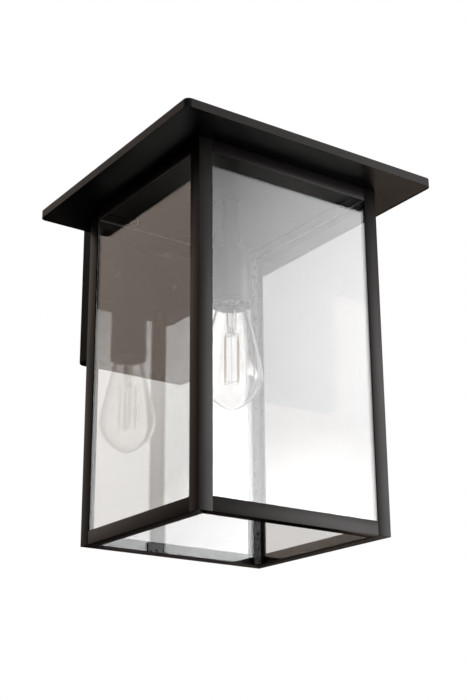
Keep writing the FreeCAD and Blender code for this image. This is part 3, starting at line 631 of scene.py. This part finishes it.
# %% Spin the tube and set the pinched knot below it
mount_low, mount_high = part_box("bulb_mount")
mount_r, knot_length, mount_wall = 5.2 * mm, 9.5 * mm, 0.9 * mm
mount_foot, flare_r = mount_low.z + knot_length, cap_r - 1.5 * mm
flare_foot, flare_foot_inside = mount_high.z - 4.0 * mm, mount_high.z - 4.4 * mm
outline = [(0, mount_foot), (mount_r, mount_foot), (mount_r, flare_foot),
           (flare_r, mount_high.z), (flare_r - mount_wall, mount_high.z),
           (mount_r - mount_wall, flare_foot_inside),
           (mount_r - mount_wall, mount_foot + mount_wall), (0, mount_foot + mount_wall)]
shape = spun(rounded(outline, 1.2 * mm), 64)
bead = Vector((mount_r / 3.1, 1.5 * mm, 0.46 * knot_length))
bead_gap = 2.06 * bead.x
for place in (-1, 0, 1):
    centre = Vector((axis_x + place * bead_gap, axis_y, mount_low.z + knot_length / 2))
    bmesh.ops.create_uvsphere(shape, u_segments=24, v_segments=16, radius=1.0,
                              matrix=Matrix.Translation(centre) @ Matrix.Diagonal((*bead, 1.0)))
piece_from(shape, "glass_mount", [bulb_clear], bulb_body,
           ["bulb_mount"], 60.0)
print("mount radius", mount_r)

# %% [markdown]
# ## Threaded cap
#
# The cap's thread is rolled sheet: round crests and round roots at 7 turns to the inch. A helix
# is the classic use of spin with a rise: the wavy outline turns once while it climbs by one pitch,
# so the seam meets itself one wave higher. The crests reach the CAD sleeve's radius.

# %% Roll the thread
pitch = 25.4 / 7 * mm
waves = int((cap_high.z - cap_low.z) / pitch) - 1
depth = 0.8 * mm
per_wave = 10
thread_low = cap_low.z + 0.3 * pitch
outline = [(cap_r - depth / 2 + depth / 2 * math.cos(math.tau * i / per_wave),
            thread_low + pitch * i / per_wave) for i in range(waves * per_wave + 1)]
shape = spun(outline, 72, rise=pitch)
piece_from(shape, "bulb_cap_thread", [nickel_cap], bulb_body, ["bulb_cap"], 60.0)
print("thread waves", waves)

# %% The cap's skirt and crown
skirt_r, tube_r, crown_r = cap_r - 0.4 * mm, cap_r - 1.0 * mm, cap_r - 2.6 * mm
cap_wall, crown_hole_r = 0.4 * mm, 6.0 * mm
skirt_high, crown_low = cap_low.z + 1.6 * mm, cap_high.z - 2.0 * mm
outline = [(cap_r - 0.9 * mm, cap_low.z), (skirt_r, cap_low.z), (skirt_r, skirt_high),
           (tube_r, skirt_high + 0.6 * mm), (tube_r, crown_low), (crown_r, cap_high.z),
           (crown_hole_r, cap_high.z), (crown_hole_r, cap_high.z - cap_wall),
           (crown_r - 0.2 * mm, cap_high.z - cap_wall), (tube_r - cap_wall, crown_low - 0.2 * mm),
           (tube_r - cap_wall, cap_low.z)]
piece_from(spun(outline, 96, closed=True), "bulb_cap_shell", [nickel_cap], bulb_body)
print("cap shell made")

# %% [markdown]
# ## Filaments
#
# Each filament is a thin rod of phosphor with a bright metal tag at either end. The CAD rods keep
# the place. New rods with soft ends and tags replace them, so close views show how they are held.

# %% Four filaments and their tags
rod_low, rod_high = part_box("bulb_filaments")
filament_r, filament_circle, filament_turn = 1.1 * mm, 9.4 * mm, math.radians(-33.0)
tag_r, tag_length = 0.55 * mm, 2.4 * mm
sticks, tags = bmesh.new(), bmesh.new()
for quarter in range(4):
    angle = math.radians(45 + 90 * quarter) + filament_turn
    x, y = axis_x + filament_circle * math.cos(angle), axis_y + filament_circle * math.sin(angle)
    length = rod_high.z - rod_low.z - 2 * tag_length
    middle_z = (rod_low.z + rod_high.z) / 2
    bmesh.ops.create_cone(sticks, cap_ends=True, segments=20, radius1=filament_r,
                          radius2=filament_r, depth=length,
                          matrix=Matrix.Translation((x, y, middle_z)))
    for end in (-1, 1):
        z = middle_z + end * (length + tag_length) / 2
        bmesh.ops.create_cone(tags, cap_ends=True, segments=12, radius1=tag_r, radius2=tag_r,
                              depth=tag_length, matrix=Matrix.Translation((x, y, z)))
soften(sticks, 0.35 * mm, 3, [e for e in sticks.edges if len(e.link_faces) == 2
                              and e.calc_face_angle() > 1.0])
piece_from(sticks, "filament_rods", [phosphor], bulb_body, ["bulb_filaments"])
piece_from(tags, "filament_tags", [wire_metal], bulb_body)
print("filaments made")

# %% [markdown]
# ## Studio
#
# The stage is a pale floor well below the lantern and a pale surround. The surround is the only
# light, and the floor throws none back onto the lantern. It is a wall graded by height and from
# left to right, with seven round soft glows. The strongest is low in front on the right, where
# the front pane mirrors it as a white veil. A warm one behind on the left does the same for the
# left pane, one overhead lights the roof, and the rest fill single gaps. The glows are placed for
# one camera, so from other sides the light is less even. The camera itself sees plain white.

# %% Surround
world = bpy.data.worlds.new("studio_surround")
bpy.context.scene.world = world
world.use_nodes = True
tree = world.node_tree
background = tree.nodes["Background"]
direction = add(tree, "ShaderNodeTexCoord").outputs["Generated"]


def glow(towards, inner, outer, radiance):
    """A round soft light in a direction: full inside one angle, fading out to another."""
    facing = tree.nodes.new("ShaderNodeVectorMath")
    facing.operation = "DOT_PRODUCT"
    tree.links.new(direction, facing.inputs[0])
    facing.inputs[1].default_value = Vector(towards).normalized()
    return ramp(tree, facing.outputs["Value"], math.cos(math.radians(outer)),
                math.cos(math.radians(inner)), 0.0, radiance)


def heading(turn, rise):
    """A direction from its turn, from the front towards the right, and its rise, in degrees."""
    turn, rise = math.radians(turn), math.radians(rise)
    return (math.sin(turn) * math.cos(rise), -math.cos(turn) * math.cos(rise), math.sin(rise))


def emitter(colour, strength):
    node = add(tree, "ShaderNodeBackground", Color=(*colour, 1.0))
    tree.links.new(strength, node.inputs["Strength"])
    return node.outputs[0]


def together(first, second):
    node = tree.nodes.new("ShaderNodeAddShader")
    tree.links.new(first, node.inputs[0])
    tree.links.new(second, node.inputs[1])
    return node.outputs[0]


split = add(tree, "ShaderNodeSeparateXYZ")
tree.links.new(direction, split.inputs[0])
even_wall = math_node(tree, "MULTIPLY", ramp(tree, split.outputs["Y"], -0.1, 0.4, 0.25, 1.0),
                      ramp(tree, split.outputs["Z"], 0.08, 0.18, 0.04, 1.0))
even_wall = math_node(tree, "MULTIPLY", even_wall,
                      ramp(tree, split.outputs["Z"], 0.17, 0.36, 0.36, 0.55))
left_fade = ramp(tree, split.outputs["X"], -0.35, 0.25, 0.20, 1.5)
right_fade = ramp(tree, split.outputs["X"], 0.44, 0.56, 0.0, 0.88)
even_wall = math_node(tree, "MULTIPLY", even_wall,
                      math_node(tree, "SUBTRACT", left_fade, right_fade))
even_wall = math_node(tree, "ADD", even_wall, glow(heading(0, 85), 20, 55, 1.0))
even_wall = math_node(tree, "ADD", even_wall, glow(heading(142, 8), 3.5, 8.0, 0.4))
soft_box = math_node(tree, "ADD", glow(heading(47, 4), 13, 28.5, 6.9),
                     glow(heading(66, 0), 6, 20, 1.5))
soft_box = math_node(tree, "ADD", soft_box, glow(heading(45, 25), 2, 10, 1.5))
warm_side = math_node(tree, "ADD", glow(heading(-148, 17), 15, 35, 0.68),
                      glow(heading(132, -33), 5, 13, 2.6))

# %% Put the three lights together, and show the camera plain white
light = together(emitter((1.0, 0.985, 0.975), even_wall), emitter((0.985, 0.985, 1.0), soft_box))
light = together(light, emitter((1.0, 0.80, 0.67), warm_side))
seen = tree.nodes.new("ShaderNodeMixShader")
tree.links.new(add(tree, "ShaderNodeLightPath").outputs["Is Camera Ray"], seen.inputs[0])
tree.links.new(light, seen.inputs[1])
tree.links.new(background.outputs[0], seen.inputs[2])
tree.links.new(seen.outputs[0], tree.nodes["World Output"].inputs["Surface"])
background.inputs["Color"].default_value = (1.0, 1.0, 1.0, 1.0)
print("surround made")

# %% Floor
floor_half, floor_z = 8.0, -1.3
floor_shape = bmesh.new()
bmesh.ops.create_grid(floor_shape, x_segments=1, y_segments=1, size=floor_half)
bmesh.ops.translate(floor_shape, verts=floor_shape.verts, vec=(0, 0, floor_z))
floor_mesh = bpy.data.meshes.new("studio_floor")
floor_shape.to_mesh(floor_mesh)
floor_shape.free()
floor = bpy.data.objects.new("studio_floor", floor_mesh)
bpy.context.scene.collection.objects.link(floor)
floor_finish, tree, shader = new_material("studio_floor_pale", Roughness=0.9)
shader.inputs["Base Color"].default_value = (0.86, 0.86, 0.85, 1.0)
floor_mesh.materials.append(floor_finish)
floor.visible_diffuse = False
floor.visible_glossy = False
floor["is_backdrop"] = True

# %% [markdown]
# ## Camera
#
# The camera stands low, to the left and in front, and looks up at the lantern. Its turn, tilt and
# roll are set as angles, and a small sideways shift of the lens keeps the upright lines upright.

# %% Camera
camera_place = Vector((-0.7254, -1.2377, -0.5813))
yaw, tilt, roll = 0.5704, 0.3378, 0.0071
forward = Vector((math.sin(yaw) * math.cos(tilt), math.cos(yaw) * math.cos(tilt), math.sin(tilt)))
level_right = Vector((math.cos(yaw), -math.sin(yaw), 0))
level_up = level_right.cross(forward)
right = level_right * math.cos(roll) + level_up * math.sin(roll)
up = level_up * math.cos(roll) - level_right * math.sin(roll)
camera_data = bpy.data.cameras.new("camera")
camera = bpy.data.objects.new("camera", camera_data)
bpy.context.scene.collection.objects.link(camera)
camera_data.sensor_width = 36.0
camera_data.lens = 66.68
camera_data.shift_x = 0.0737
turned = Matrix((right, up, -forward)).transposed()
camera.matrix_world = Matrix.Translation(camera_place) @ turned.to_4x4()
bpy.context.scene.camera = camera
bpy.context.scene.view_settings.view_transform = "Standard"
print("camera at", [round(v, 3) for v in camera.location])

# %% Find the bounds of the shown parts
low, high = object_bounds()
